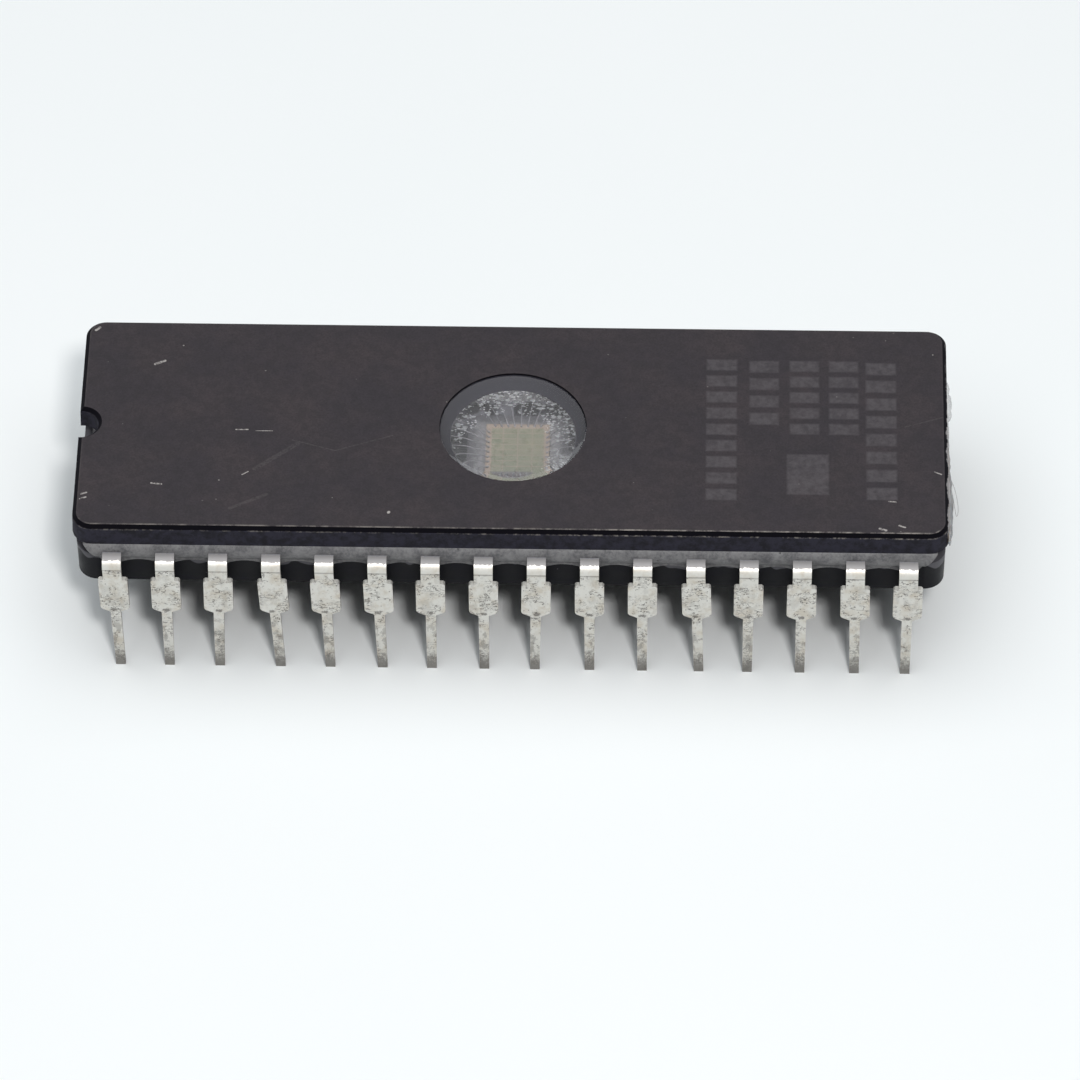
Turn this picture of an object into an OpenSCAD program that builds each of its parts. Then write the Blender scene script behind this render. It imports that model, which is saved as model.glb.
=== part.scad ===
// Windowed ceramic dual-in-line package of a UV-erasable memory chip.
// Origin: middle of the footprint, on the plane of the lead tips. The notched end faces -X, and +Z is up.

/* [Leads] */
// Number of leads, in two rows
pins = 32; // [24:4:36]
// Distance between neighbouring leads
pitch = 2.54; // [2.4:0.02:2.8]
// Gap between the side of the lid and the inner faces of the blades
blade_gap = 0.615; // [0.5:0.005:0.8]
// Thickness of the lead sheet
lead_t = 0.25; // [0.2:0.01:0.3]
// Inner radius of the bend
bend_r = 0.3; // [0.15:0.01:0.4]
// Width of a lead at its bend and neck
neck_w = 0.9; // [0.7:0.02:1.1]
// Height of the neck, from the shoulder to the underside of the flat part
neck_h = 1.02; // [0.7:0.02:1.4]
// Width of the shoulder
shoulder_w = 1.4; // [1.2:0.02:1.6]
// Height of the shoulder
shoulder_h = 2; // [1.4:0.02:2.6]
// Size of the cut corners of the shoulder
shoulder_cut = 0.08; // [0.02:0.01:0.15]
// Height of the slope from the shoulder down to the tail
slope_h = 0.24; // [0.1:0.02:0.5]
// Width of the tail below the slope
tail_w = 0.5; // [0.4:0.01:0.56]
// Width of the tail at its tip
tip_w = 0.46; // [0.36:0.01:0.5]
// Length of the tail
tail_h = 3.83; // [3:0.02:4.2]
// Leads that stand askew, each with the sideways offset of its tip
askew = [[1, 0.17], [3, -0.1], [4, 0.3], [5, 0.17], [6, 0.16], [9, -0.1], [12, 0.2], [15, 0.09]];

/* [Lead fingers inside the seal] */
// Width of a finger inside the seal
finger_w = 0.44; // [0.36:0.02:0.5]
// Distance between neighbouring finger ends
finger_pitch = 0.74; // [0.66:0.02:0.8]
// Length of the straight end of a finger, the outermost of its side
finger_end = 0.3; // [0.25:0.05:0.5]
// How much longer each next straight end is, towards the middle of the long side
finger_step = 0.3; // [0.25:0.05:0.35]
// Length over which a lead narrows, inside the seal
narrowing = 0.4; // [0.3:0.05:0.6]

/* [Ceramic] */
// Distance from the last lead's middle to the end of the lid
end_margin = 1.93; // [1.6:0.01:2.4]
// Width of the lid at its lower edge
lid_w = 13.76; // [13:0.02:14.2]
// Thickness of the lid
lid_t = 1.17; // [1:0.01:1.6]
// Thickness of the base
base_t = 1.99; // [1.6:0.01:2.6]
// How far the base stands in from the lid, all round
base_inset = 0.15; // [0.05:0.01:0.3]
// Radius of the corners of lid and base, seen from above
corner_r = 1; // [0.6:0.05:1.5]
// Width of the chamfer round the lid's top edge and the base's bottom edge
chamfer = 0.2; // [0.08:0.01:0.3]
// How far a side leans out over the height of the lid or base
draft = 0.03; // [0.02:0.01:0.1]
// Radius of the notch that marks the end of lead 1
notch_r = 0.84; // [0.6:0.02:1.1]
// Distance of the notch's centre from the end of the lid
notch_in = 0.1; // [0:0.02:0.3]

/* [Glass seal] */
// Glass between the lid and the leads
glass_over = 0.37; // [0.15:0.01:0.5]
// Glass between the leads and the base
glass_under = 0.28; // [0.15:0.01:0.4]
// How far the seal stands in from the ends of the lid
seal_recess = 0.6; // [0.3:0.05:1]
// How far the bead on each long side stands out past the lid
bead_out = 0.2; // [0.1:0.01:0.35]
// Radius of the bead
bead_r = 0.6; // [0.5:0.01:0.7]
// Distance of each end of the bead from the end of the lid
bead_end = 0.55; // [0.4:0.05:1]
// How much shorter the bead is at each end of its lower edge
bead_slant = 1; // [0.2:0.05:1.1]
// Thickness of the glass that runs down the side of the base
cling_t = 0.09; // [0.04:0.01:0.15]
// How far that glass reaches below the top of the base behind a lead
cling_h = 0.45; // [0.35:0.05:0.6]
// How far it reaches there midway between two leads
scallop_h = 0.21; // [0.1:0.01:0.3]
// Radius of the scallop between two leads
scallop_r = 1.96; // [1.6:0.02:2.4]

/* [Window] */
// Width of the window at the top of the lid
window_d = 7.11; // [6.5:0.01:7.6]
// Width of the window at the underside of the lid
window_low_d = 6.1; // [5.5:0.1:6.4]
// Height of the straight rim of the window's hole
window_rim = 0.3; // [0.15:0.05:0.6]
// Depth of the glass below the top of the lid
glass_recess = 0.07; // [0.02:0.01:0.12]

/* [Cavity] */
// Length of the pocket in the base, along the package
pocket_l = 7; // [6.6:0.1:7.6]
// Width of the pocket in the base
pocket_w = 6.2; // [5.8:0.1:6.6]
// Depth of the pocket
pocket_h = 0.4; // [0.35:0.01:0.6]
// Radius of the corners of the pocket and of the openings in the seal
pocket_r = 0.5; // [0.2:0.05:0.8]
// Ledge of glass from the pocket's edge to the finger ends
ledge = 0.15; // [0.1:0.05:0.3]
// Length of a finger that lies bare in the cavity
bare_finger = 0.65; // [0.4:0.05:0.8]
// Depth to which a bare finger is sunk in the glass
finger_sunk = 0.13; // [0.05:0.01:0.18]
// Length of the die, along the package
die_l = 3; // [2.4:0.1:3.6]
// Width of the die
die_w = 3.2; // [2.6:0.1:3.8]
// Thickness of the die
die_t = 0.36; // [0.25:0.01:0.45]
// Distance of the die's centre from the middle of the package
die_off = 0.2; // [0:0.05:0.4]
// Thickness of the bed under the die
bed_t = 0.04; // [0.02:0.01:0.08]
// How far the bed reaches past the die
bed_out = 0.85; // [0.4:0.05:1.1]

/* [Bond wires] */
// Thickness of a wire
wire_t = 0.03; // [0.02:0.005:0.04]
// Distance between neighbouring pads on the die
pad_pitch = 0.31; // [0.2:0.01:0.36]
// Distance of the pads from the die's edge
pad_in = 0.12; // [0.08:0.01:0.2]
// Distance of a wire's foot from the end of its finger
foot_in = 0.2; // [0.15:0.01:0.3]
// Rise of a wire over a straight line between its feet
wire_rise = 0.22; // [0.12:0.01:0.3]
// Straight lengths that a wire is bent from
wire_steps = 8; // [4:1:12]
// Length of a wire's foot
foot_l = 0.12; // [0.1:0.01:0.16]
// Width of a wire's foot
foot_w = 0.08; // [0.06:0.01:0.12]
// Height of a wire's foot
foot_h = 0.05; // [0.045:0.005:0.07]

/* [Hidden] */
$fn = 64;
row_n = pins / 2;
row_l = (row_n - 1) * pitch;
row_gap = lid_w + 2 * blade_gap + lead_t;
lid_l = row_l + 2 * end_margin;
base_l = lid_l - 2 * base_inset;
base_w = lid_w - 2 * base_inset;

slope_z = tail_h;
seat_z = slope_z + slope_h;
shoulder_z = seat_z + shoulder_h;
flat_z = shoulder_z + neck_h;
lead_top_z = flat_z + lead_t;
bend_z = flat_z - bend_r;
bend_y = row_gap / 2 - lead_t / 2 - bend_r;

base_top_z = flat_z - glass_under;
base_z = base_top_z - base_t;
lid_z = lead_top_z + glass_over;
lid_top_z = lid_z + lid_t;
pocket_z = base_top_z - pocket_h;
die_z = pocket_z + bed_t;
die_top_z = die_z + die_t;

// The fingers of a quarter of a row run to each end of the cavity, and the rest to its long side
end_n = floor(row_n / 4);
side_n = row_n - 2 * end_n;
seal_edge_y = base_w / 2;
fan_y = seal_edge_y - 2 * narrowing;
tip_x = pocket_l / 2 + ledge;
tip_y = pocket_w / 2 + ledge;
bead_y = lid_w / 2 + bead_out;
bead_z = (base_top_z + lid_z) / 2;
bead_l = lid_l - 2 * bead_end;
cling_z = base_top_z - cling_h;
cut = 1;
eps = 0.01;

function lead_name(i) = str("lead_", i < 10 ? "0" : "", i);
function askew_of(i) = let (hit = [for (a = askew) if (a[0] == i) a[1]]) len(hit) > 0 ? hit[0] : 0;

// Lead 1 is at the notched end of the front row, and the count goes round the package
function is_front(i) = i <= row_n;
function place(i) = is_front(i) ? i - 1 : pins - i;
function lead_x(k) = (k - (row_n - 1) / 2) * pitch;
function goes_to_end(k) = k < end_n || k >= row_n - end_n;
function end_side(k) = k < end_n ? -1 : 1;
function end_rank(k) = min(k, row_n - 1 - k);
function centred(j, n, step) = (j - (n - 1) / 2) * step;

// Middle line of a finger, from the bend to its inner end, drawn for the front row
function end_finger(k) = let (
    x = end_side(k),
    y = -(end_rank(k) + 0.5) * finger_pitch
) [[x * (tip_x + finger_end), y], [x * tip_x, y]];
function side_finger(k) = let (
    x = centred(k - end_n, side_n, finger_pitch),
    straight = finger_end + (end_rank(k) - end_n) * finger_step
) [[x, -tip_y - straight], [x, -tip_y]];
function finger(k) = goes_to_end(k) ? end_finger(k) : side_finger(k);
function finger_line(k) = concat(
    [
        [lead_x(k), -bend_y],
        [lead_x(k), -fan_y - narrowing],
        [lead_x(k), -fan_y]
    ],
    finger(k)
);
function finger_widths() = [neck_w, neck_w, finger_w, finger_w, finger_w];

// Ribbon outline round a middle line, mitred at its corners
function unit(v) = v / norm(v);
function turned(v) = [-v[1], v[0]];
function leg(p, j) = unit(p[min(j + 1, len(p) - 1)] - p[min(j, len(p) - 2)]);
function mitre(p, j) = let (
    a = turned(leg(p, max(j - 1, 0))),
    b = turned(leg(p, j))
) (a + b) / (1 + a * b);
function ribbon(p, w) = concat(
    [for (j = [0 : len(p) - 1]) p[j] + mitre(p, j) * w[j] / 2],
    [for (j = [len(p) - 1 : -1 : 0]) p[j] - mitre(p, j) * w[j] / 2]
);

module at_rows(front) {
    mirror([0, front ? 0 : 1, 0]) children();
}

module rounded_rect(l, w, r) {
    square([l - 2 * r, w], center = true);
    square([l, w - 2 * r], center = true);
    for (x = [-1, 1], y = [-1, 1]) {
        translate([x * (l / 2 - r), y * (w / 2 - r)]) circle(r);
    }
}

// Block with rounded corners whose sides lean: l and w at its foot, smaller by lean all round at its top
module leaning_block(l, w, h, r, lean) {
    rotate([90, 0, 90]) {
        linear_extrude(l - 2 * r, center = true) leaning_side(w, h, lean);
    }
    rotate([90, 0, 0]) {
        linear_extrude(w - 2 * r, center = true) leaning_side(l, h, lean);
    }
    for (x = [-1, 1], y = [-1, 1]) {
        translate([x * (l / 2 - r), y * (w / 2 - r), 0]) cylinder(h, r, r - lean);
    }
}

module leaning_side(w, h, lean) {
    polygon([[-w / 2, 0], [w / 2, 0], [w / 2 - lean, h], [lean - w / 2, h]]);
}

// Hole of the window, from the underside of the lid up to height top
module window_hole(top) {
    taper_h = lid_t - window_rim;
    cylinder(taper_h, d1 = window_low_d, d2 = window_d);
    translate([0, 0, taper_h]) cylinder(top - taper_h, d = window_d);
}

module notch() {
    translate([notch_in - lid_l / 2, 0, -eps]) {
        cylinder(lid_t + 2 * eps, r = notch_r);
        translate([-notch_r, -notch_r, 0]) cube([notch_r, 2 * notch_r, lid_t + 2 * eps]);
    }
    translate([notch_in - lid_l / 2, 0, lid_t - chamfer]) {
        cylinder(chamfer + eps, notch_r, notch_r + chamfer + eps);
    }
}

// Block whose far end, at height h, has a chamfer all round
module chamfered_block(l, w, h) {
    leaning_block(l, w, h - chamfer, corner_r, draft);
    translate([0, 0, h - chamfer]) {
        leaning_block(l - 2 * draft, w - 2 * draft, chamfer, corner_r - draft, chamfer);
    }
}

module lid() {
    color("#3f393f") {
        translate([0, 0, lid_z]) {
            difference() {
                chamfered_block(lid_l, lid_w, lid_t);
                window_hole(lid_t + eps);
                notch();
            }
        }
    }
}

module window() {
    color("#a9b4ba", 0.4) {
        translate([0, 0, lid_z]) window_hole(lid_t - glass_recess);
    }
}

module base() {
    color("#1d1c22") {
        difference() {
            translate([0, 0, base_top_z]) {
                mirror([0, 0, 1]) chamfered_block(base_l, base_w, base_t);
            }
            translate([0, 0, pocket_z]) {
                linear_extrude(pocket_h + eps) rounded_rect(pocket_l, pocket_w, pocket_r);
            }
        }
    }
}

// Flat part of a lead: bar out of the seal and finger inside it
module lead_flat(k) {
    translate([0, 0, flat_z]) linear_extrude(lead_t) polygon(ribbon(finger_line(k), finger_widths()));
}

module lead_bend(k) {
    translate([lead_x(k) - neck_w / 2, -bend_y, bend_z]) {
        rotate([90, 0, 90]) rotate([0, 0, 90]) {
            rotate_extrude(angle = 90) translate([bend_r, 0]) square([lead_t, neck_w]);
        }
    }
}

// Edge of a blade below the bend, on side s; a lead askew is sheared, so that its tip stays flat
function blade_edge(s, lean) = let (
    seat = [shoulder_w, seat_z],
    foot = [tail_w, slope_z]
) [
    for (p = [
        [neck_w, bend_z],
        [neck_w, shoulder_z],
        [shoulder_w - 2 * shoulder_cut, shoulder_z],
        [shoulder_w, shoulder_z - shoulder_cut],
        seat + [0, shoulder_cut],
        seat + unit(foot - seat) * 2 * shoulder_cut,
        foot,
        [tip_w, 0]
    ]) [s * p[0] / 2 + lean * (1 - p[1] / bend_z), p[1]]
];
function reversed(p) = [for (j = [len(p) - 1 : -1 : 0]) p[j]];

module blade_outline(lean) {
    polygon(concat(blade_edge(1, lean), reversed(blade_edge(-1, lean))));
}

module lead_blade(k, lean) {
    translate([lead_x(k), -bend_y - bend_r, 0]) {
        rotate([90, 0, 0]) linear_extrude(lead_t) blade_outline(lean);
    }
}

module lead(i) {
    color("#c9c6bf") {
        at_rows(is_front(i)) {
            lead_flat(place(i));
            lead_bend(place(i));
            lead_blade(place(i), askew_of(i));
        }
    }
}

// Front view of a bead: as long as bead_l under the lid, and slanted in towards its lower edge
module bead_front() {
    low = bead_l / 2 - bead_slant;
    polygon([[-low, cling_z], [low, cling_z], [bead_l / 2, lid_z], [-bead_l / 2, lid_z]]);
}

// Bead of one long side: a round squeeze-out, and the glass that runs down the side of the base
module bead() {
    intersection() {
        union() {
            translate([0, bead_r - bead_y, bead_z]) {
                rotate([0, 90, 0]) cylinder(bead_l, r = bead_r, center = true);
            }
            translate([-bead_l / 2, -base_w / 2 - cling_t, cling_z]) cube([bead_l, bead_r, bead_z - cling_z]);
        }
        translate([0, -lid_w / 4, 0]) {
            rotate([90, 0, 0]) linear_extrude(lid_w / 2) bead_front();
        }
    }
}

// Scallops of the bead's lower edge, one between every two leads and one past each end of the row
module scallops() {
    for (k = [-1 : row_n - 1]) {
        translate([lead_x(k) + pitch / 2, eps - base_w / 2, base_top_z - scallop_h - scallop_r]) {
            rotate([90, 0, 0]) cylinder(cut, r = scallop_r);
        }
    }
}

module seal_openings() {
    step_z = flat_z + finger_sunk;
    grow = 2 * (ledge + bare_finger);
    translate([0, 0, base_top_z - eps]) {
        linear_extrude(step_z - base_top_z + 2 * eps) rounded_rect(pocket_l, pocket_w, pocket_r);
    }
    translate([0, 0, step_z]) {
        linear_extrude(lid_z - step_z + eps) rounded_rect(pocket_l + grow, pocket_w + grow, pocket_r);
    }
}

module glass_seal() {
    color("#75747a") {
        difference() {
            union() {
                translate([0, 0, base_top_z]) {
                    linear_extrude(lid_z - base_top_z) {
                        rounded_rect(lid_l - 2 * seal_recess, base_w, corner_r);
                    }
                }
                for (front = [true, false]) {
                    at_rows(front) {
                        difference() {
                            bead();
                            scallops();
                        }
                    }
                }
            }
            base_envelope();
            seal_openings();
            for (k = [0 : row_n - 1], front = [true, false]) at_rows(front) lead_flat(k);
        }
    }
}

// Space of the base without its pocket, to trim what runs down its sides
module base_envelope() {
    translate([0, 0, base_top_z]) {
        mirror([0, 0, 1]) leaning_block(base_l, base_w, base_t - chamfer, corner_r, draft);
    }
}

module die_attach() {
    color("#b9b6b4") {
        translate([die_off, 0, pocket_z]) {
            linear_extrude(bed_t) rounded_rect(die_l + 2 * bed_out, die_w + 2 * bed_out, pocket_r);
        }
    }
}

module die() {
    color("#9a9c88") {
        translate([die_off - die_l / 2, -die_w / 2, die_z]) cube([die_l, die_w, die_t]);
    }
}

// Pad and finger end of the lead at place k in the front row
function pad_of(k) = goes_to_end(k)
    ? [die_off + end_side(k) * (die_l / 2 - pad_in), -(end_rank(k) + 0.5) * pad_pitch]
    : [die_off + centred(k - end_n, side_n, pad_pitch), pad_in - die_w / 2];
function foot_of(k) = let (f = finger(k)) f[1] + unit(f[0] - f[1]) * foot_in;

// Middle line of a wire in the upright plane through its two feet
function wire_line(run, climb) = [
    for (j = [0 : wire_steps]) let (s = j / wire_steps) [run * s, climb * s + 4 * wire_rise * s * (1 - s)]
];

module foot() {
    translate([-foot_l / 2, -foot_w / 2, 0]) cube([foot_l, foot_w, foot_h]);
}

module wire(k) {
    start = pad_of(k);
    end = foot_of(k);
    run = norm(end - start);
    climb = lead_top_z - die_top_z;
    line = wire_line(run, climb);
    translate([start[0], start[1], die_top_z]) {
        rotate([0, 0, atan2(end[1] - start[1], end[0] - start[0])]) {
            translate([0, wire_t / 2, foot_h / 2]) {
                rotate([90, 0, 0]) linear_extrude(wire_t) polygon(ribbon(line, [for (p = line) wire_t]));
            }
            foot();
            translate([run, 0, climb]) foot();
        }
    }
}

module bond_wires() {
    color("#d8d8d8") {
        for (k = [0 : row_n - 1], front = [true, false]) at_rows(front) wire(k);
    }
}

lid();
window();
glass_seal();
base();
die_attach();
die();
bond_wires();
for (i = [1 : pins]) {
    lead(i);
}
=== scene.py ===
import math
import random

import bpy
from mathutils import Matrix, Vector, noise as fractal


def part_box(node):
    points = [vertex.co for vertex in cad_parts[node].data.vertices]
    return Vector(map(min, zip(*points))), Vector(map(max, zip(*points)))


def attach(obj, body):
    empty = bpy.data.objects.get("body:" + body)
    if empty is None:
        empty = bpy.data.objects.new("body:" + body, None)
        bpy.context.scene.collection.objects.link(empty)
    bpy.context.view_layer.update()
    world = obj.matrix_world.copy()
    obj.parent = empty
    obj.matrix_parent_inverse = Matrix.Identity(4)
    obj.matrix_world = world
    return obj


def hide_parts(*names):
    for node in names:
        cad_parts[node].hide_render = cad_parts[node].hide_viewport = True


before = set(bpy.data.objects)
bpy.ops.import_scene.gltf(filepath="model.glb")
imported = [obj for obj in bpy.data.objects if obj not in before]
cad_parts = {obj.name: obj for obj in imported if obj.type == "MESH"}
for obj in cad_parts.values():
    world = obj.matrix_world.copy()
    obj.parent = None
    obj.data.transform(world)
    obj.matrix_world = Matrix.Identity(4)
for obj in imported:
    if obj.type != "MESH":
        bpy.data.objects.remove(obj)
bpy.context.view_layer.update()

print("frame loaded:", len(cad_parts), "nodes")

mm = 0.001
lidLow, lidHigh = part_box("lid")
baseLow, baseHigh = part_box("base")
windowLow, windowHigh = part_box("window")
leadNames = sorted(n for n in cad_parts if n.startswith("lead_"))
leadLow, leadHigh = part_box(leadNames[0])


# small helpers for building node trees

def startMaterial(name):
    material = bpy.data.materials.new(name)
    material.use_nodes = True
    material.node_tree.nodes.clear()
    return material, material.node_tree


def feed(tree, socket, value):
    if isinstance(value, bpy.types.NodeSocket):
        tree.links.new(value, socket)
    else:
        socket.default_value = value


def addNode(tree, kind, values=None, **settings):
    made = tree.nodes.new(kind)
    for key, setting in settings.items():
        setattr(made, key, setting)
    for key, value in (values or {}).items():
        feed(tree, made.inputs[key], value)
    return made


def maths(tree, operation, a, b=0.0, c=0.0, clamp=False):
    made = addNode(tree, "ShaderNodeMath", {0: a, 1: b, 2: c}, operation=operation, use_clamp=clamp)
    return made.outputs[0]


def vectors(tree, operation, a, b=(0, 0, 0), scale=None):
    made = addNode(tree, "ShaderNodeVectorMath", {0: a, 1: b}, operation=operation)
    if scale is not None:
        feed(tree, made.inputs["Scale"], scale)
    return made.outputs["Value"] if operation in ("LENGTH", "DOT_PRODUCT", "DISTANCE") else made.outputs[0]


def millimetres(tree):
    coords = addNode(tree, "ShaderNodeTexCoord")
    return vectors(tree, "SCALE", coords.outputs["Object"], scale=1 / mm)


def parts(tree, vector):
    return addNode(tree, "ShaderNodeSeparateXYZ", {0: vector}).outputs


def noise(tree, vector, scale, detail=3.0, roughness=0.55, offset=(0, 0, 0), stretch=(1, 1, 1)):
    mapping = addNode(tree, "ShaderNodeMapping", {"Vector": vector, "Location": offset, "Scale": stretch})
    made = addNode(tree, "ShaderNodeTexNoise", {
        "Vector": mapping.outputs[0], "Scale": scale, "Detail": detail, "Roughness": roughness})
    return made.outputs[0]


def cells(tree, vector, scale, offset=(0, 0, 0), stretch=(1, 1, 1)):
    mapping = addNode(tree, "ShaderNodeMapping", {"Vector": vector, "Location": offset, "Scale": stretch})
    made = addNode(tree, "ShaderNodeTexVoronoi", {"Vector": mapping.outputs[0], "Scale": scale})
    return made.outputs["Distance"]


def between(tree, value, low, high, atLow=0.0, atHigh=1.0):
    made = addNode(tree, "ShaderNodeMapRange", {
        "Value": value, "From Min": low, "From Max": high, "To Min": atLow, "To Max": atHigh},
        interpolation_type="SMOOTHSTEP")
    return made.outputs[0]


def blendColour(tree, amount, first, second):
    made = addNode(tree, "ShaderNodeMix", data_type="RGBA")
    feed(tree, made.inputs["Factor"], amount)
    feed(tree, made.inputs[6], first)
    feed(tree, made.inputs[7], second)
    return made.outputs[2]


def blendValue(tree, amount, first, second):
    made = addNode(tree, "ShaderNodeMix", data_type="FLOAT")
    feed(tree, made.inputs["Factor"], amount)
    feed(tree, made.inputs[2], first)
    feed(tree, made.inputs[3], second)
    return made.outputs[0]


def bump(tree, height, strength, distance):
    made = addNode(tree, "ShaderNodeBump", {"Height": height, "Strength": strength, "Distance": distance})
    return made.outputs[0]


def finishSurface(tree, values):
    shader = addNode(tree, "ShaderNodeBsdfPrincipled", values)
    addNode(tree, "ShaderNodeOutputMaterial", {"Surface": shader.outputs[0]})
    return shader


def srgb(red, green, blue):
    def linear(value):
        value /= 255
        return value / 12.92 if value <= 0.04045 else ((value + 0.055) / 1.055) ** 2.4
    return (linear(red), linear(green), linear(blue), 1.0)


# distance outside the lid's outline, seen from above, in millimetres
def outlineDistance(tree, place, halfSize, radius):
    flat = vectors(tree, "MULTIPLY", place, (1, 1, 0))
    inner = (halfSize[0] - radius, halfSize[1] - radius, 0)
    past = vectors(tree, "SUBTRACT", vectors(tree, "ABSOLUTE", flat), inner)
    outside = vectors(tree, "LENGTH", vectors(tree, "MAXIMUM", past, (0, 0, 0)))
    axes = parts(tree, past)
    inside = maths(tree, "MINIMUM", maths(tree, "MAXIMUM", axes[0], axes[1]), 0.0)
    return maths(tree, "SUBTRACT", maths(tree, "ADD", outside, inside), radius)


# a row of plain blocks on the top face, as a soft-edged mask
def blockMask(tree, flat, centre, size, count, share, softness):
    axes = parts(tree, vectors(tree, "SUBTRACT", flat, (*centre, 0)))
    pitch = size[1] / count
    along = maths(tree, "FLOORED_MODULO", maths(tree, "ADD", axes[1], size[1] / 2), pitch)
    along = maths(tree, "ABSOLUTE", maths(tree, "SUBTRACT", along, pitch / 2))
    length = pitch * (share if count > 1 else 1.0)
    past = maths(tree, "MAXIMUM", maths(tree, "SUBTRACT", maths(tree, "ABSOLUTE", axes[0]), size[0] / 2),
                 maths(tree, "SUBTRACT", along, length / 2))
    past = maths(tree, "MAXIMUM", past, maths(tree, "SUBTRACT", maths(tree, "ABSOLUTE", axes[1]), size[1] / 2))
    return between(tree, past, -softness, softness, 1.0, 0.0)


# a scratch from start to end on the top face, as a mask
def scratchMask(tree, flat, start, end, width):
    along = (end[0] - start[0], end[1] - start[1], 0)
    fromStart = vectors(tree, "SUBTRACT", flat, (start[0], start[1], 0))
    share = maths(tree, "MULTIPLY", vectors(tree, "DOT_PRODUCT", fromStart, along),
                  1 / (along[0] ** 2 + along[1] ** 2), clamp=True)
    nearest = vectors(tree, "SCALE", along, scale=share)
    gap = vectors(tree, "DISTANCE", fromStart, nearest)
    return between(tree, gap, width * 0.5, width, 1.0, 0.0)


# lid: dark brown-grey pressed ceramic, scratched, with worn edges and faint etched blocks
lidFinish = {
    "colour": srgb(43, 38, 43),
    "patch": srgb(53, 46, 49),
    "grain": srgb(30, 27, 30),
    # chamfer: painted dark reflection; side and sideDark: painted shade on the side, mottled
    "chamfer": srgb(9, 8, 12),
    "side": srgb(38, 37, 48),
    "sideDark": srgb(18, 17, 23),
    "residue": srgb(150, 147, 148),
    "worn": srgb(146, 140, 134),
    "scratch": srgb(168, 163, 160),
    "etched": srgb(82, 78, 81),
        "cornerRadius": 1.0,
    "chamferSize": 0.2,
    "topEdge": 0.23,    # from the outline in to the top face
    "endX": 20.9,       # where the residue on the right end begins
    # centre, size and number of blocks of each row, in millimetres
    "blockShare": 0.66,
    "rows": [
        ((10.05, 0.0), (1.45, 9.6), 9), ((12.1, 2.45), (1.4, 4.6), 4), ((14.05, 2.15), (1.4, 5.2), 5),
        ((15.95, 2.15), (1.4, 5.2), 5), ((17.75, 0.0), (1.45, 9.4), 8), ((14.2, -2.9), (2.0, 2.6), 1),
    ],
    # start, end and width of each scratch on the top face, in millimetres
    "scratches": [
        ((-13.35, -0.39), (-12.78, -0.38), 0.045), ((-12.38, -0.46), (-11.59, -0.45), 0.025),
        ((-17.47, 3.89), (-17.02, 4.12), 0.09), ((-17.26, -3.96), (-16.78, -4.02), 0.06),
        ((-12.93, -3.34), (-12.65, -3.14), 0.04), ((-20.58, -4.72), (-20.34, -4.63), 0.06),
        ((-20.62, -5.04), (-20.36, -4.93), 0.06), ((-20.48, 6.13), (-20.31, 6.3), 0.09),
        ((-5.81, -5.66), (-5.83, -5.7), 0.09), ((20.3, -2.64), (20.6, -2.79), 0.045),
        ((18.07, -4.59), (18.42, -4.62), 0.045), ((17.63, -6.36), (17.93, -6.47), 0.08),
        ((18.55, -6.14), (18.83, -6.26), 0.06),
    ],
    # the same for long faint ones
    "faintScratches": [
        ((-10.6, -1.04), (-8.53, -1.7), 0.05), ((-8.53, -1.7), (-5.8, -0.67), 0.05),
        ((-12.33, -2.95), (-10.35, -1.28), 0.16), ((-13.41, -5.53), (-11.71, -4.61), 0.12),
        ((18.89, 0.29), (20.71, 0.95), 0.045),
    ],
}


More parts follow.
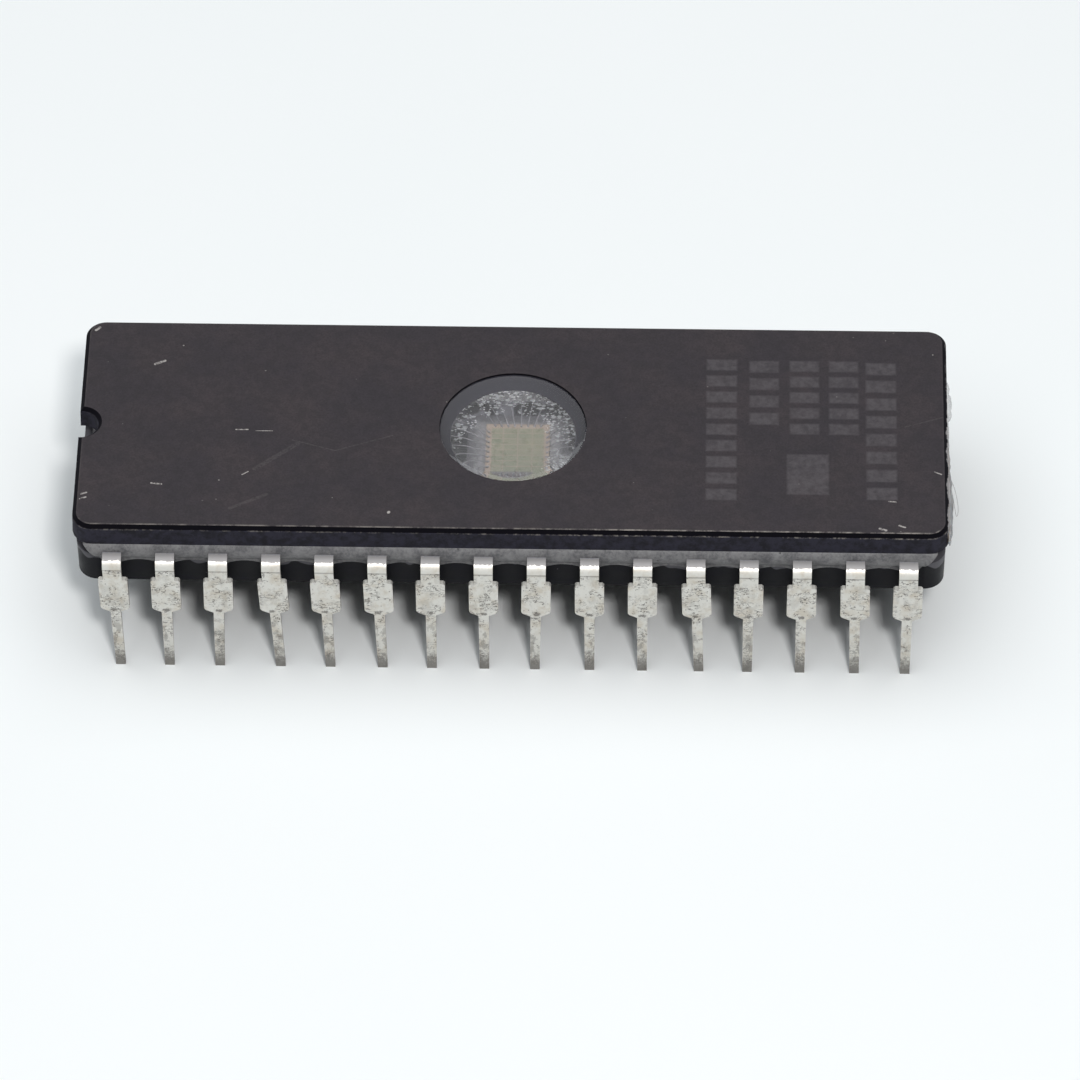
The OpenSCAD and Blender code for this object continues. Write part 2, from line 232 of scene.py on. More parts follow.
def makeLidMaterial():
    s = lidFinish
    material, tree = startMaterial("lidCeramic")
    place = millimetres(tree)
    flat = vectors(tree, "MULTIPLY", place, (1, 1, 0))
    axes = parts(tree, place)
    height = axes[2]
    top = lidHigh.z / mm
    half = (lidHigh.x / mm, lidHigh.y / mm)
    away = outlineDistance(tree, place, half, s["cornerRadius"])
    onTop = maths(tree, "GREATER_THAN", height, top - 0.012)
    patches = noise(tree, place, 0.35, 5.0, 0.6)
    grain = noise(tree, place, 9.0, 4.0, 0.7)
    colour = blendColour(tree, between(tree, patches, 0.35, 0.7), s["colour"], s["patch"])
    colour = blendColour(tree, between(tree, grain, 0.35, 0.75, 0.0, 0.45), colour, s["grain"])
    mottle = noise(tree, place, 2.2, 5.0, 0.7, offset=(6, 2, 9))
    colour = blendColour(tree, between(tree, mottle, 0.4, 0.62, 0.0, 0.45), colour, s["grain"])
    # etched blocks, thin and patchy
    blocks = 0.0
    for centre, size, count in s["rows"]:
        row = blockMask(tree, flat, centre, size, count, s["blockShare"], 0.08)
        blocks = maths(tree, "MAXIMUM", blocks, row)
    patchy = between(tree, noise(tree, place, 3.0, 5.0, 0.7, offset=(3, 3, 3)), 0.3, 0.7, 0.25, 0.75)
    colour = blendColour(tree, maths(tree, "MULTIPLY", blocks, patchy), colour, s["etched"])
    # fine pale specks, sparse over the face
    speckCells = cells(tree, place, 1.1)
    speckNoise = noise(tree, place, 0.8, 2.0, offset=(7, 3, 0))
    specks = maths(tree, "MULTIPLY", between(tree, speckCells, 0.03, 0.06, 1.0, 0.0),
                   between(tree, speckNoise, 0.5, 0.62))
    colour = blendColour(tree, maths(tree, "MULTIPLY", specks, 0.6), colour, s["scratch"])
    # painted shade: the side is coloured darker and bluer than the top, with mottled blotches, and the chamfer
    # darkest as a painted dark reflection
    sideColour = blendColour(tree, between(tree, mottle, 0.38, 0.66, 0.0, 0.9), s["side"], s["sideDark"])
    colour = blendColour(tree, onTop, sideColour, colour)
    onChamfer = maths(tree, "MULTIPLY", maths(tree, "SUBTRACT", 1.0, onTop),
                      maths(tree, "GREATER_THAN", height, top - s["chamferSize"] + 0.02))
    colour = blendColour(tree, onChamfer, colour, s["chamfer"])
    # worn lines along the top edge and the chamfer's lower edge
    broken = noise(tree, place, 1.6, 6.0, 0.75, offset=(2, 9, 4))
    edgeTop = maths(tree, "MULTIPLY", onTop, between(tree, away, -s["topEdge"] - 0.08, -s["topEdge"] - 0.03))
    wornTop = maths(tree, "MULTIPLY", edgeTop, between(tree, broken, 0.38, 0.66))
    atRight = between(tree, axes[0], 20.3, 20.6)
    wornTop = maths(tree, "MULTIPLY", wornTop, maths(tree, "SUBTRACT", 1.0, maths(tree, "MULTIPLY", atRight, 0.85)))
    lowLine = between(tree, maths(tree, "ABSOLUTE", maths(tree, "SUBTRACT", height, top - s["chamferSize"])),
                      0.02, 0.045, 1.0, 0.0)
    brokenLow = noise(tree, place, 2.3, 6.0, 0.8, offset=(5, 1, 8))
    wornLow = maths(tree, "MULTIPLY", lowLine, between(tree, brokenLow, 0.46, 0.66, 0.0, 0.6))
    # the wear is on the front edge, most of it on the right half
    wornSide = maths(tree, "MULTIPLY", between(tree, axes[1], -6.3, -6.0, 1.0, 0.15),
                     between(tree, axes[0], -6.0, 8.0, 0.55, 1.0))
    worn = maths(tree, "MULTIPLY", maths(tree, "MAXIMUM", wornTop, wornLow), wornSide)
    colour = blendColour(tree, worn, colour, s["worn"])
    # single scratches and chips
    marks = 0.0
    for start, end, width in s["scratches"]:
        marks = maths(tree, "MAXIMUM", marks, scratchMask(tree, flat, start, end, width))
    faint = 0.0
    for start, end, width in s["faintScratches"]:
        faint = maths(tree, "MAXIMUM", faint, scratchMask(tree, flat, start, end, width))
    marks = maths(tree, "MAXIMUM", marks, maths(tree, "MULTIPLY", faint, 0.05))
    breakUp = noise(tree, place, 6.0, 4.0, 0.8, offset=(1, 1, 1))
    marks = maths(tree, "MULTIPLY", maths(tree, "MULTIPLY", marks, onTop), between(tree, breakUp, 0.36, 0.56))
    colour = blendColour(tree, marks, colour, s["scratch"])
    # residue dried on the outer half of the right end's chamfer
    dried = maths(tree, "ADD", axes[0], between(tree, noise(tree, place, 1.4, 5.0, 0.7), 0.3, 0.7, -0.08, 0.08))
    dried = maths(tree, "MULTIPLY", between(tree, dried, s["endX"], s["endX"] + 0.03),
                  between(tree, axes[1], 1.0, 3.5, 1.0, 0.2))
    colour = blendColour(tree, dried, colour, s["residue"])
    rough = between(tree, grain, 0.3, 0.7, 0.5, 0.62)
    rough = maths(tree, "ADD", rough, maths(tree, "MULTIPLY", worn, 0.1))
    rough = blendValue(tree, onTop, 0.85, rough)
    relief = maths(tree, "ADD", maths(tree, "MULTIPLY", grain, 0.6),
                   maths(tree, "MULTIPLY", noise(tree, place, 30.0, 2.0), 0.4))
    relief = maths(tree, "ADD", relief, maths(tree, "MULTIPLY", marks, 0.5))
    finishSurface(tree, {
        "Base Color": colour, "Roughness": rough, "Specular IOR Level": 0.22,
        # the chamfer's specular is tinted down to hold its painted dark reflection
        "Specular Tint": blendColour(tree, onChamfer, (1.0, 1.0, 1.0, 1.0), (0.2, 0.2, 0.25, 1.0)),
        "Normal": bump(tree, relief, 0.35, 0.02 * mm)})
    return material


# base: near-black ceramic, with glass smeared on its sides just under the seal
baseFinish = {
    "colour": srgb(7, 7, 12), "pale": srgb(17, 17, 24), "speck": srgb(86, 82, 86), "smear": srgb(84, 83, 88),
    "smearTop": 6.72, "smearLow": 6.2,
}


def makeBaseMaterial():
    s = baseFinish
    material, tree = startMaterial("baseCeramic")
    place = millimetres(tree)
    height = parts(tree, place)[2]
    broad = noise(tree, place, 0.9, 4.0, 0.6)
    grain = noise(tree, place, 12.0, 4.0, 0.7)
    colour = blendColour(tree, between(tree, broad, 0.4, 0.75), s["colour"], s["pale"])
    dots = between(tree, cells(tree, place, 1.4, offset=(3, 1, 2)), 0.03, 0.07, 1.0, 0.0)
    dots = maths(tree, "MULTIPLY", dots, between(tree, noise(tree, place, 1.1, 2.0), 0.52, 0.6, 0.0, 0.7))
    colour = blendColour(tree, dots, colour, s["speck"])
    along = noise(tree, place, 0.8, 1.5, 0.4, offset=(2, 6, 1), stretch=(1, 1, 0.1))
    edge = between(tree, along, 0.35, 0.7, s["smearTop"] + 0.02, s["smearLow"])
    smear = between(tree, maths(tree, "SUBTRACT", height, edge), -0.05, 0.05)
    colour = blendColour(tree, smear, colour, s["smear"])
    rough = between(tree, broad, 0.3, 0.7, 0.42, 0.6)
    finishSurface(tree, {
        "Base Color": colour, "Roughness": rough, "Specular IOR Level": 0.14,
        "Normal": bump(tree, maths(tree, "ADD", grain, smear), 0.35, 0.02 * mm)})
    return material


# seal: grey fired glass, lighter and darker in soft patches, slightly pitted
sealFinish = {"dark": srgb(70, 69, 72), "light": srgb(116, 115, 116), "stain": srgb(36, 35, 38)}


def makeSealMaterial():
    s = sealFinish
    material, tree = startMaterial("sealGlass")
    place = millimetres(tree)
    broad = noise(tree, place, 1.2, 5.0, 0.65)
    fine = noise(tree, place, 7.0, 5.0, 0.7)
    mixed = maths(tree, "ADD", maths(tree, "MULTIPLY", broad, 0.6), maths(tree, "MULTIPLY", fine, 0.4))
    colour = blendColour(tree, between(tree, mixed, 0.38, 0.62), s["dark"], s["light"])
    pits = between(tree, cells(tree, place, 3.2), 0.08, 0.2, 1.0, 0.0)
    pits = maths(tree, "MULTIPLY", pits, between(tree, noise(tree, place, 2.0, 2.0), 0.5, 0.6, 0.0, 0.8))
    colour = blendColour(tree, pits, colour, s["stain"])
    relief = maths(tree, "SUBTRACT", maths(tree, "MULTIPLY", mixed, 1.2), maths(tree, "MULTIPLY", pits, 0.4))
    finishSurface(tree, {
        "Base Color": colour, "Roughness": between(tree, fine, 0.3, 0.7, 0.38, 0.55),
        "Normal": bump(tree, relief, 0.6, 0.08 * mm)})
    return material


# leads: tin-plated strip, bright at the bend, satin and speckled below, bare and dull where it leaves the seal, with
# painted shade on the top of the bend and a painted dark reflection under it
leadFinish = {
    "tin": srgb(210, 208, 202),
    "tinWarm": srgb(196, 189, 177),
    "speck": srgb(70, 65, 62),
    # the bare metal's colour, also used as painted shade on the top of the bend
    "bare": srgb(150, 147, 147),
    "glassy": srgb(136, 135, 140),
    "tip": srgb(118, 115, 111),
    # this end lies part way up the bend, so the bare colour past the flat is painted shade
    "bareEnd": 7.52,
    "glassEnd": 7.12,
    "bendLow": 6.79,
    # width of the painted dark reflection line under the bend
    "paintedLineWidth": 0.07,
    "pitch": 2.54,
    "slopeMiddle": 3.98,
}


def makeLeadMaterial():
    s = leadFinish
    material, tree = startMaterial("tinnedLead")
    place = millimetres(tree)
    axes = parts(tree, place)
    outward = maths(tree, "ABSOLUTE", axes[1])
    broad = noise(tree, place, 1.3, 5.0, 0.65)
    fine = noise(tree, place, 8.0, 5.0, 0.75, stretch=(1, 1, 0.7))
    colour = blendColour(tree, between(tree, broad, 0.42, 0.7), s["tin"], s["tinWarm"])
    onFace = maths(tree, "LESS_THAN", axes[2], s["bendLow"])
    # pits and stains through the plating, denser in patches
    pitted = between(tree, fine, 0.6, 0.66)
    patches = between(tree, noise(tree, place, 1.9, 3.0, offset=(4, 0, 7)), 0.38, 0.56)
    pitted = maths(tree, "MULTIPLY", maths(tree, "MULTIPLY", pitted, patches), onFace)
    # short scribbled scratches, where a stretched noise crosses its middle value
    lines = noise(tree, place, 2.6, 3.0, 0.6, offset=(8, 3, 2), stretch=(1, 1, 2.2))
    scribble = between(tree, maths(tree, "ABSOLUTE", maths(tree, "SUBTRACT", lines, 0.5)), 0.012, 0.028, 1.0, 0.0)
    scribble = maths(tree, "MULTIPLY", maths(tree, "MULTIPLY", scribble, onFace),
                     between(tree, noise(tree, place, 1.6, 2.0, offset=(6, 6, 6)), 0.47, 0.55))
    dots = between(tree, cells(tree, place, 5.0, offset=(0, 5, 0)), 0.1, 0.2, 1.0, 0.0)
    dots = maths(tree, "MULTIPLY", maths(tree, "MULTIPLY", dots, onFace),
                 between(tree, noise(tree, place, 3.0, 2.0, offset=(9, 2, 5)), 0.5, 0.58))
    wear = maths(tree, "MAXIMUM", maths(tree, "MAXIMUM", pitted, dots), scribble)
    # painted shade of a dimple: a dark spot on the middle of each slope; and blotches down the tail
    across = maths(tree, "SUBTRACT", maths(tree, "FLOORED_MODULO", axes[0], s["pitch"]), s["pitch"] / 2)
    drop = maths(tree, "SUBTRACT", axes[2], s["slopeMiddle"])
    spot = maths(tree, "ADD", maths(tree, "MULTIPLY", across, across),
                 maths(tree, "MULTIPLY", maths(tree, "MULTIPLY", drop, drop), 3.0))
    spot = maths(tree, "ADD", spot, between(tree, fine, 0.3, 0.7, -0.03, 0.03))
    spot = between(tree, spot, 0.015, 0.04, 0.8, 0.0)
    blotch = between(tree, noise(tree, place, 2.4, 4.0, 0.7, offset=(3, 8, 1), stretch=(1, 1, 0.6)), 0.52, 0.6)
    blotch = maths(tree, "MULTIPLY", blotch, between(tree, axes[2], 2.0, 4.0, 0.5, 0.15))
    # wear from here on also holds the painted dimple shade
    wear = maths(tree, "MAXIMUM", wear, maths(tree, "MAXIMUM", spot, maths(tree, "MULTIPLY", blotch, onFace)))
    colour = blendColour(tree, maths(tree, "MULTIPLY", wear, 0.85), colour, s["speck"])
    # the plating is rubbed dull towards the tip
    rubbed = maths(tree, "ADD", axes[2], between(tree, fine, 0.3, 0.7, -0.5, 0.5))
    tips = between(tree, rubbed, 0.4, 1.4, 0.9, 0.0)
    colour = blendColour(tree, tips, colour, s["tip"])
    # painted dark reflection: a dark line under the bend
    paintedBendLine = maths(tree, "ABSOLUTE", maths(tree, "SUBTRACT", axes[2], s["bendLow"] - s["paintedLineWidth"] / 2))
    paintedBendLine = between(tree, paintedBendLine, s["paintedLineWidth"] * 0.4, s["paintedLineWidth"] * 0.9, 0.4, 0.0)
    paintedBendLine = maths(tree, "MULTIPLY", paintedBendLine, between(tree, broad, 0.3, 0.5, 0.5, 1.0))
    colour = blendColour(tree, paintedBendLine, colour, s["speck"])
    # bare metal where the lead leaves the seal; up the bend to bareEnd the same colour is painted shade
    ragged = maths(tree, "ADD", outward, between(tree, fine, 0.3, 0.7, -0.05, 0.05))
    bare = maths(tree, "LESS_THAN", ragged, s["bareEnd"])
    bare = maths(tree, "MULTIPLY", bare, maths(tree, "SUBTRACT", 1.0, onFace))
    colour = blendColour(tree, bare, colour, s["bare"])
    # painted shade: the top of the bend is coloured part way to the bare colour
    half = between(tree, ragged, s["bareEnd"], s["bareEnd"] + 0.13, 0.6, 0.0)
    colour = blendColour(tree, maths(tree, "MULTIPLY", half, maths(tree, "SUBTRACT", 1.0, onFace)), colour, s["bare"])
    glassy = maths(tree, "LESS_THAN", ragged, s["glassEnd"])
    colour = blendColour(tree, glassy, colour, s["glassy"])
    rough = between(tree, broad, 0.35, 0.7, 0.36, 0.5)
    rough = blendValue(tree, onFace, 0.42, rough)
    rough = maths(tree, "ADD", rough, maths(tree, "MULTIPLY", maths(tree, "MAXIMUM", wear, paintedBendLine), 0.2))
    rough = blendValue(tree, bare, rough, 0.6)
    dull = maths(tree, "MAXIMUM", maths(tree, "MAXIMUM", wear, bare), maths(tree, "MAXIMUM", tips, paintedBendLine))
    # painted light: ledges that face up are coloured paler and duller, as lit from above
    facing = parts(tree, addNode(tree, "ShaderNodeTexCoord").outputs["Normal"])[2]
    paintedLitLedge = maths(tree, "MULTIPLY", between(tree, facing, 0.5, 0.8), onFace)
    colour = blendColour(tree, paintedLitLedge, colour, s["tin"])
    dull = maths(tree, "MAXIMUM", dull, paintedLitLedge)
    metal = maths(tree, "SUBTRACT", 1.0, maths(tree, "MULTIPLY", dull, 0.7))
    relief = maths(tree, "SUBTRACT", maths(tree, "MULTIPLY", fine, 0.5), wear)
    finishSurface(tree, {
        "Base Color": colour, "Roughness": rough, "Metallic": metal,
        "Normal": bump(tree, relief, 0.5, 0.03 * mm)})
    return material


# window: a slug of clear glass, hazy, with bubbles and streaks at its lower rim
windowPlan = {
    "colour": (0.96, 0.965, 0.975, 1.0),
    "bubbleClear": 0.86,
    "wallBack": srgb(62, 61, 68),
    # painted reflection on the front of the wall
    "paintedFrontReflection": srgb(150, 148, 152),
    "ior": 1.5,
    "gap": 0.03,       # to the wall of the hole, in millimetres
    "lowRadius": 3.05,
    "rim": 0.3,
    "sag": 0.03,        # how far the middle of the top lies below its rim
    "bubbleRing": (1.3, 3.03),
}


def makeWindowMaterial():
    s = windowPlan
    material, tree = startMaterial("windowGlass")
    place = millimetres(tree)
    axes = parts(tree, place)
    flat = vectors(tree, "MULTIPLY", place, (1, 1, 0))
    out = vectors(tree, "LENGTH", flat)
    low, high = s["bubbleRing"]
    atBottom = maths(tree, "LESS_THAN", axes[2], windowLow.z / mm + 0.02)
    # bubbles crowd at the back and the right, and are few at the front
    crowd = maths(tree, "ADD", maths(tree, "MULTIPLY", axes[1], 0.3), maths(tree, "MULTIPLY", axes[0], 0.12))
    crowd = maths(tree, "ADD", crowd, between(tree, out, low, high, -0.55, 0.5))
    crowd = maths(tree, "ADD", crowd, between(tree, noise(tree, place, 1.1, 3.0), 0.3, 0.7, -0.8, 0.6))
    dots = between(tree, cells(tree, place, 5.2, stretch=(0.55, 1, 1)), 0.28, 0.4, 1.0, 0.0)
    finer = between(tree, cells(tree, place, 9.0, offset=(4, 4, 0), stretch=(0.6, 1, 1)), 0.26, 0.4, 1.0, 0.0)
    bubbles = maths(tree, "MULTIPLY", maths(tree, "MAXIMUM", dots, finer), between(tree, crowd, 0.0, 0.5))
    bubbles = maths(tree, "MULTIPLY", maths(tree, "MULTIPLY", bubbles, atBottom),
                    maths(tree, "LESS_THAN", out, high))
    clear = blendValue(tree, bubbles, 1.0, s["bubbleClear"])
    # the slug's side is fused to the hole, so it shows the ceramic, darker at the back, with a painted reflection
    # that makes it pale at the front
    level = maths(tree, "MULTIPLY", maths(tree, "GREATER_THAN", axes[2], windowLow.z / mm + 0.03),
                  maths(tree, "LESS_THAN", axes[2], windowHigh.z / mm - 0.05))
    fused = maths(tree, "MULTIPLY", level, maths(tree, "GREATER_THAN", out, low + 1.2))
    wallWithPaintedReflection = blendColour(tree, between(tree, axes[1], -3.2, -2.2), s["paintedFrontReflection"], s["wallBack"])
    glass = addNode(tree, "ShaderNodeBsdfPrincipled", {
        "Base Color": s["colour"], "IOR": s["ior"], "Transmission Weight": clear,
        "Roughness": blendValue(tree, bubbles, 0.02, 0.5),
        "Normal": bump(tree, noise(tree, place, 1.5, 2.0, 0.5), 0.1, 0.02 * mm)})
    ceramic = addNode(tree, "ShaderNodeBsdfPrincipled", {
        "Base Color": wallWithPaintedReflection, "Roughness": 0.8, "Specular IOR Level": 0.0})
    mixed = addNode(tree, "ShaderNodeMixShader", {0: fused, 1: glass.outputs[0], 2: ceramic.outputs[0]})
    # the lamps light the cavity straight through the slug
    path = addNode(tree, "ShaderNodeLightPath")
    through = addNode(tree, "ShaderNodeBsdfTransparent", {"Color": s["colour"]})
    mixed = addNode(tree, "ShaderNodeMixShader", {
        0: path.outputs["Is Shadow Ray"], 1: mixed.outputs[0], 2: through.outputs[0]})
    addNode(tree, "ShaderNodeOutputMaterial", {"Surface": mixed.outputs[0]})
    return material


def selectAt(piece, height):
    for face in piece.data.polygons:
        face.select = abs(face.center.z - height) < 1e-6 and len(face.vertices) > 4
    return piece


def makeWindow():
    s = windowPlan
    bpy.ops.object.select_all(action="DESELECT")
    topRadius = (windowHigh.x - windowLow.x) / 2 - s["gap"] * mm
    depth = lidHigh.z - lidLow.z - s["rim"] * mm
    bpy.ops.mesh.primitive_cone_add(
        vertices=96, radius1=(s["lowRadius"] - s["gap"]) * mm, radius2=topRadius, depth=depth,
        location=(0, 0, windowLow.z + depth / 2))
    slug = bpy.context.object
    slug.name = "windowSlug"
    bpy.ops.object.transform_apply(location=True)
    bpy.ops.object.mode_set(mode="EDIT")
    bpy.ops.mesh.select_mode(type="FACE")
    bpy.ops.mesh.select_all(action="DESELECT")
    bpy.ops.object.mode_set(mode="OBJECT")
    selectAt(slug, windowLow.z + depth)
    bpy.ops.object.mode_set(mode="EDIT")
    bpy.ops.mesh.extrude_region_move(
        TRANSFORM_OT_translate={"value": (0, 0, windowHigh.z - windowLow.z - depth)})
    for step in (0.35, 0.8, 1.3):
        bpy.ops.mesh.inset(thickness=0.45 * mm)
        bpy.ops.transform.translate(value=(0, 0, -s["sag"] * mm * step / 2.45))
    bpy.ops.object.mode_set(mode="OBJECT")
    bpy.ops.object.modifier_add(type="BEVEL")
    slug.modifiers[-1].width = 0.03 * mm
    slug.modifiers[-1].segments = 2
    slug.modifiers[-1].angle_limit = math.radians(50)
    bpy.ops.object.modifier_apply(modifier=slug.modifiers[-1].name)
    bpy.ops.object.shade_smooth_by_angle(angle=math.radians(40))
    slug.data.materials.append(makeWindowMaterial())
    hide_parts("window")
    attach(slug, "root")
    return slug


# residue: a pale, half-clear film on the right end of the lid, thin at the back and thick near the front corner
filmPlan = {
    "faceX": 20.98, "voxel": 0.035, "rough": 0.09, "grain": 0.35,
    # y, z, half length, half height and thickness of each patch, in millimetres
    "patches": [
        (3.2, 8.35, 0.55, 0.3, 0.1), (2.3, 8.35, 0.7, 0.32, 0.22), (1.7, 8.3, 0.45, 0.26, 0.2),
        (0.2, 8.45, 1.6, 0.2, 0.04), (-1.9, 8.4, 1.4, 0.26, 0.07), (-3.2, 8.35, 0.9, 0.3, 0.13),
        (-4.2, 8.3, 0.8, 0.34, 0.2), (-5.0, 8.25, 0.7, 0.36, 0.17), (-5.75, 8.2, 0.6, 0.38, 0.15),
        (-6.2, 8.1, 0.4, 0.34, 0.08),
    ],
    "colour": srgb(176, 173, 172), "dark": srgb(132, 128, 128), "thin": 0.3, "thick": 0.85,
    "thread": [
        (20.99, -2.5, 8.4), (21.2, -3.0, 8.42), (21.36, -3.9, 8.4), (21.42, -4.7, 8.36), (21.33, -5.15, 8.32),
        (21.25, -4.75, 8.34), (21.18, -3.9, 8.36), (21.05, -3.0, 8.36),
    ],
    "threadRadius": 0.014,
}


def makeFilmMaterial():
    s = filmPlan
    material, tree = startMaterial("driedFilm")
    place = millimetres(tree)
    mixed = noise(tree, place, 2.5, 5.0, 0.7)
    colour = blendColour(tree, between(tree, mixed, 0.35, 0.65), s["colour"], s["dark"])
    along = parts(tree, place)[1]
    solid = between(tree, along, -2.0, 1.5, s["thick"], s["thin"])
    solid = maths(tree, "MULTIPLY", solid, between(tree, noise(tree, place, 5.0, 4.0, 0.7), 0.25, 0.6, 0.65, 1.0))
    finishSurface(tree, {
        "Base Color": colour, "Roughness": 0.5, "Alpha": solid, "Subsurface Weight": 0.2,
        "Normal": bump(tree, mixed, 0.5, 0.05 * mm)})
    return material


def applyModifier(piece, kind, **settings):
    bpy.ops.object.modifier_add(type=kind)
    added = piece.modifiers[-1]
    for key, setting in settings.items():
        setattr(added, key, setting)
    bpy.ops.object.modifier_apply(modifier=added.name)


def makeFilm():
    s = filmPlan
    bpy.ops.object.select_all(action="DESELECT")
    made = []
    for y, z, halfLength, halfHeight, thickness in s["patches"]:
        bpy.ops.mesh.primitive_ico_sphere_add(
            subdivisions=4, radius=mm, location=(s["faceX"] * mm, y * mm, z * mm),
            scale=(thickness, halfLength, halfHeight))
        made.append(bpy.context.object)
    for patch in made:
        patch.select_set(True)
    film = made[0]
    bpy.context.view_layer.objects.active = film
    bpy.ops.object.join()
    film.name = "endFilm"
    bpy.ops.object.transform_apply()
    applyModifier(film, "REMESH", mode="VOXEL", voxel_size=s["voxel"] * mm)
    ripple = bpy.data.textures.new("filmRipple", "CLOUDS")
    ripple.noise_scale = s["grain"] * mm
    applyModifier(film, "DISPLACE", texture=ripple, strength=s["rough"] * mm, mid_level=0.5)
    applyModifier(film, "SMOOTH", factor=0.5, iterations=2)
    bpy.ops.object.shade_smooth()
    film.data.materials.append(makeFilmMaterial())
    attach(film, "root")
    return film


def makeThread(material):
    s = filmPlan
    bpy.ops.object.select_all(action="DESELECT")
    bpy.ops.curve.primitive_nurbs_path_add()
    thread = bpy.context.object
    thread.name = "endThread"
    line = thread.data.splines[0]
    line.points.add(len(s["thread"]) - len(line.points))
    for point, (x, y, z) in zip(line.points, s["thread"]):
        point.co = (x * mm, y * mm, z * mm, 1.0)
    line.use_endpoint_u = True
    line.order_u = 4
    thread.data.bevel_depth = s["threadRadius"] * mm
    thread.data.bevel_resolution = 2
    thread.data.use_fill_caps = True
    bpy.ops.object.convert(target="MESH")
    bpy.ops.object.shade_smooth()
    thread.data.materials.append(material)
    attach(thread, "root")
    return thread


# die: greenish beige memory array with a paler, pinkish border of pads and drivers
dieFinish = {
    "array": srgb(101, 99, 80), "arrayDark": srgb(91, 93, 74), "border": srgb(122, 108, 96),
    # the dark front band is painted shade
    "pad": srgb(126, 112, 100), "paintedFrontShade": srgb(62, 59, 63), "side": srgb(116, 115, 116), "paintedShadeWidth": 0.3, "borderWidth": 0.3, "blockSize": 0.34,
}


def makeDieMaterial():
    s = dieFinish
    material, tree = startMaterial("siliconDie")
    low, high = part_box("die")
    place = millimetres(tree)
    centre = ((low.x + high.x) / 2 / mm, (low.y + high.y) / 2 / mm, 0)
    local = vectors(tree, "SUBTRACT", place, centre)
    half = ((high.x - low.x) / 2 / mm, (high.y - low.y) / 2 / mm)
    away = outlineDistance(tree, local, half, 0.01)
    rows = addNode(tree, "ShaderNodeTexBrick", {
        "Vector": local, "Color1": s["array"], "Color2": s["arrayDark"], "Mortar": s["border"],
        "Scale": 1.0, "Mortar Size": 0.02, "Brick Width": s["blockSize"] * 2, "Row Height": s["blockSize"]},
        offset=0.0)
    inBorder = between(tree, away, -s["borderWidth"], -s["borderWidth"] + 0.06)
    colour = blendColour(tree, inBorder, rows.outputs["Color"], s["border"])
    padLine = maths(tree, "MULTIPLY", between(tree, away, -0.2, -0.17), between(tree, away, -0.08, -0.05, 1.0, 0.0))
    padCells = maths(tree, "GREATER_THAN", cells(tree, local, 5.5), 0.35)
    colour = blendColour(tree, maths(tree, "MULTIPLY", padLine, padCells), colour, s["pad"])
    # painted shade: a dark band along the die's front edge
    paintedFrontShade = between(tree, parts(tree, local)[1], s["paintedShadeWidth"] - half[1] - 0.04, s["paintedShadeWidth"] - half[1], 0.9, 0.0)
    colour = blendColour(tree, paintedFrontShade, colour, s["paintedFrontShade"])
    onTop = maths(tree, "GREATER_THAN", parts(tree, place)[2], high.z / mm - 0.01)
    colour = blendColour(tree, onTop, s["side"], colour)
    finishSurface(tree, {
        "Base Color": colour, "Roughness": between(tree, noise(tree, local, 3.0), 0.3, 0.7, 0.25, 0.4),
        "Metallic": 0.1})
    return material


# bed under the die: pale silver-filled glass
bedFinish = {"colour": srgb(118, 116, 117), "dark": srgb(60, 58, 63), "width": 0.85}


def makeBedMaterial():
    s = bedFinish
    material, tree = startMaterial("dieBed")
    place = millimetres(tree)
    grain = noise(tree, place, 5.0, 5.0, 0.7)
    low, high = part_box("die_attach")
    centre = ((low.x + high.x) / 2 / mm, (low.y + high.y) / 2 / mm, 0)
    half = ((high.x - low.x) / 2 / mm, (high.y - low.y) / 2 / mm)
    away = outlineDistance(tree, vectors(tree, "SUBTRACT", place, centre), half, 0.3)
    away = maths(tree, "ADD", away, between(tree, grain, 0.3, 0.7, -0.2, 0.2))
    colour = blendColour(tree, between(tree, away, -s["width"], -0.1), s["colour"], s["dark"])
    finishSurface(tree, {
        "Base Color": colour, "Roughness": 0.6, "Metallic": 0.1, "Normal": bump(tree, grain, 0.5, 0.03 * mm)})
    return material


def makeWireMaterial():
    material, tree = startMaterial("bondWire")
    place = millimetres(tree)
    grain = noise(tree, place, 20.0, 2.0)
    colour = blendColour(tree, between(tree, grain, 0.3, 0.7), srgb(104, 102, 106), srgb(88, 86, 90))
    finishSurface(tree, {"Base Color": colour, "Roughness": 0.8, "Metallic": 0.0})
    return material


def dressNode(name, material):
    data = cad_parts[name].data
    data.materials.clear()
    data.materials.append(material)


dressNode("lid", makeLidMaterial())
dressNode("base", makeBaseMaterial())
dressNode("glass_seal", makeSealMaterial())
dressNode("die", makeDieMaterial())
dressNode("die_attach", makeBedMaterial())
dressNode("bond_wires", makeWireMaterial())
tinned = makeLeadMaterial()
for leadName in leadNames:
    dressNode(leadName, tinned)
print("CAD nodes dressed")
makeWindow()
print("window made")
film = makeFilm()
makeThread(film.data.materials[0])
print("residue made")


# floor and light
floorFinish = {"size": 3.0, "colour": (0.91, 0.93, 0.935, 1.0), "pale": (0.925, 0.94, 0.945, 1.0)}


def makeFloor():
    bpy.ops.object.select_all(action="DESELECT")
    bpy.ops.mesh.primitive_plane_add(size=floorFinish["size"], location=(0, 0, 0))
    floor = bpy.context.object
    floor.name = "floor"
    material, tree = startMaterial("floorPaper")
    place = millimetres(tree)
    soft = noise(tree, place, 0.02, 2.0)
    colour = blendColour(tree, between(tree, soft, 0.3, 0.7), floorFinish["colour"], floorFinish["pale"])
    finishSurface(tree, {"Base Color": colour, "Roughness": 0.9, "Specular IOR Level": 0.1})
    floor.data.materials.append(material)


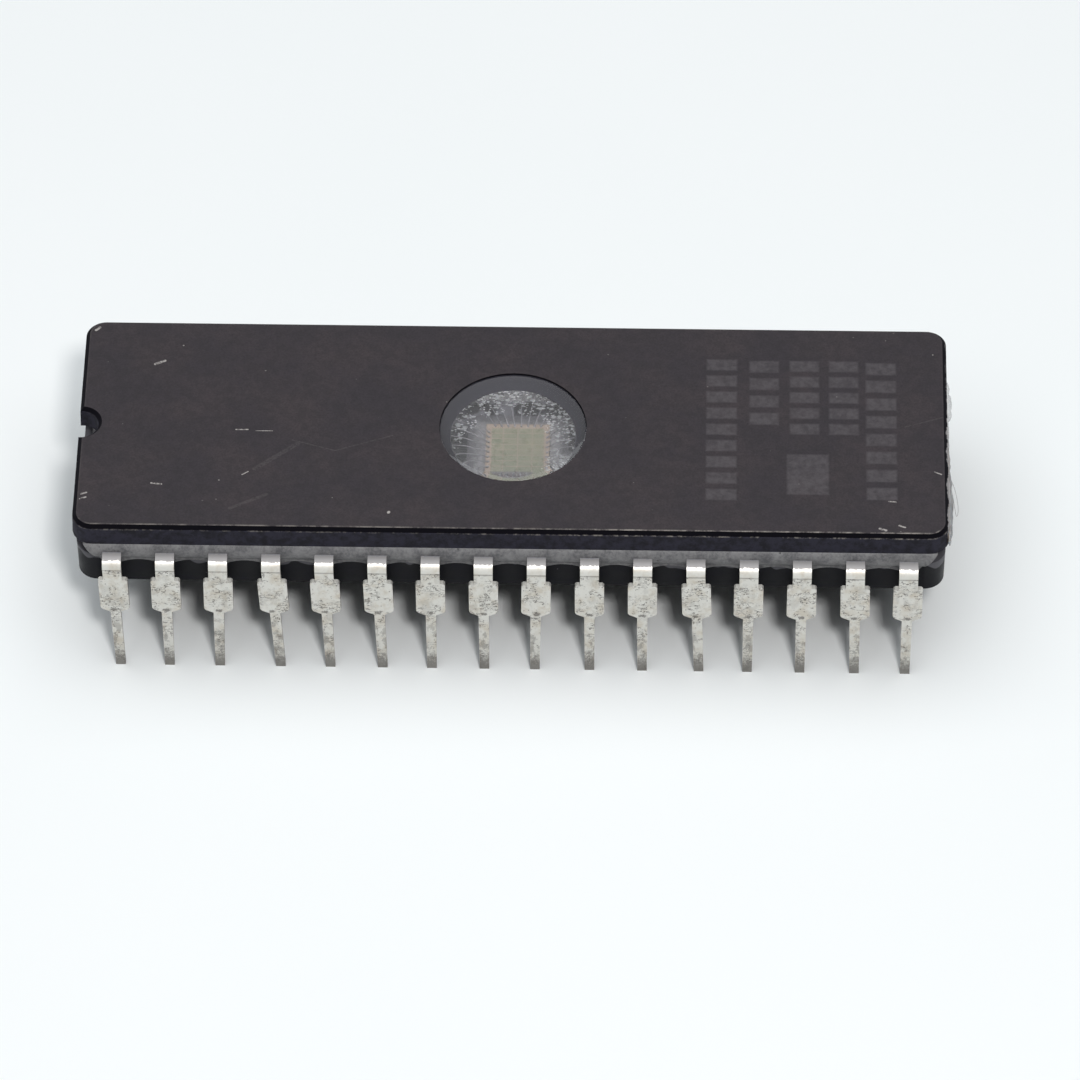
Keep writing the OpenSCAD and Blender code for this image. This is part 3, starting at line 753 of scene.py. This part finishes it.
lightPlan = {
    "worldSeen": 1.0,
    "worldOnDiffuse": 0.05,
    "lamps": [
        # name, place, size, power in watts and colour
        ("keyLamp", (0.07, -0.32, 0.442), 0.06, 1.25, (1.0, 0.985, 0.965)),
        ("overheadLamp", (-0.03, -0.01, 0.45), 0.64, 2.2, (0.94, 0.98, 1.0)),
    ],
}


def makeLight():
    world = bpy.data.worlds.new("studio")
    world.use_nodes = True
    bpy.context.scene.world = world
    tree = world.node_tree
    tree.nodes.clear()
    path = addNode(tree, "ShaderNodeLightPath")
    seen = maths(tree, "MAXIMUM", path.outputs["Is Camera Ray"], path.outputs["Is Glossy Ray"])
    seen = maths(tree, "MAXIMUM", seen, path.outputs["Is Transmission Ray"])
    # light that has left a dull surface stays soft, also where it leaves through the glass
    seen = maths(tree, "MULTIPLY", seen, maths(tree, "LESS_THAN", path.outputs["Diffuse Depth"], 0.5))
    strength = between(tree, seen, 0.0, 1.0, lightPlan["worldOnDiffuse"], lightPlan["worldSeen"])
    background = addNode(tree, "ShaderNodeBackground", {"Color": (0.975, 0.985, 1.0, 1.0), "Strength": strength})
    addNode(tree, "ShaderNodeOutputWorld", {"Surface": background.outputs[0]})
    for name, spot, size, power, colour in lightPlan["lamps"]:
        lamp = bpy.data.lights.new(name, "AREA")
        lamp.size = size
        lamp.energy = power
        lamp.color = colour
        holder = bpy.data.objects.new(name, lamp)
        bpy.context.scene.collection.objects.link(holder)
        holder.location = spot
        holder.visible_transmission = False
        holder.rotation_euler = (-Vector(spot)).to_track_quat("-Z", "Y").to_euler()


# camera at the photograph's angle
cameraPlan = {
    "distance": 0.3917, "azimuth": 1.712, "elevation": 47.846, "roll": -0.574,
    "lens": 266.2, "shift": (0.0238, 0.0096),
}


def makeCamera():
    s = cameraPlan
    turn, rise = math.radians(s["azimuth"]), math.radians(s["elevation"])
    spot = Vector((math.cos(rise) * math.sin(turn), -math.cos(rise) * math.cos(turn), math.sin(rise)))
    spot *= s["distance"]
    data = bpy.data.cameras.new("camera")
    data.lens = s["lens"]
    data.shift_x, data.shift_y = s["shift"]
    data.clip_start, data.clip_end = 0.01, 20.0
    camera = bpy.data.objects.new("camera", data)
    bpy.context.scene.collection.objects.link(camera)
    aimed = (-spot).to_track_quat("-Z", "Y").to_matrix()
    camera.matrix_world = Matrix.Translation(spot) @ (
        aimed @ Matrix.Rotation(math.radians(s["roll"]), 3, "Z")).to_4x4()
    bpy.context.scene.camera = camera


makeFloor()
makeLight()
makeCamera()
bpy.context.scene.view_settings.view_transform = "Standard"
print("floor, light and camera set")
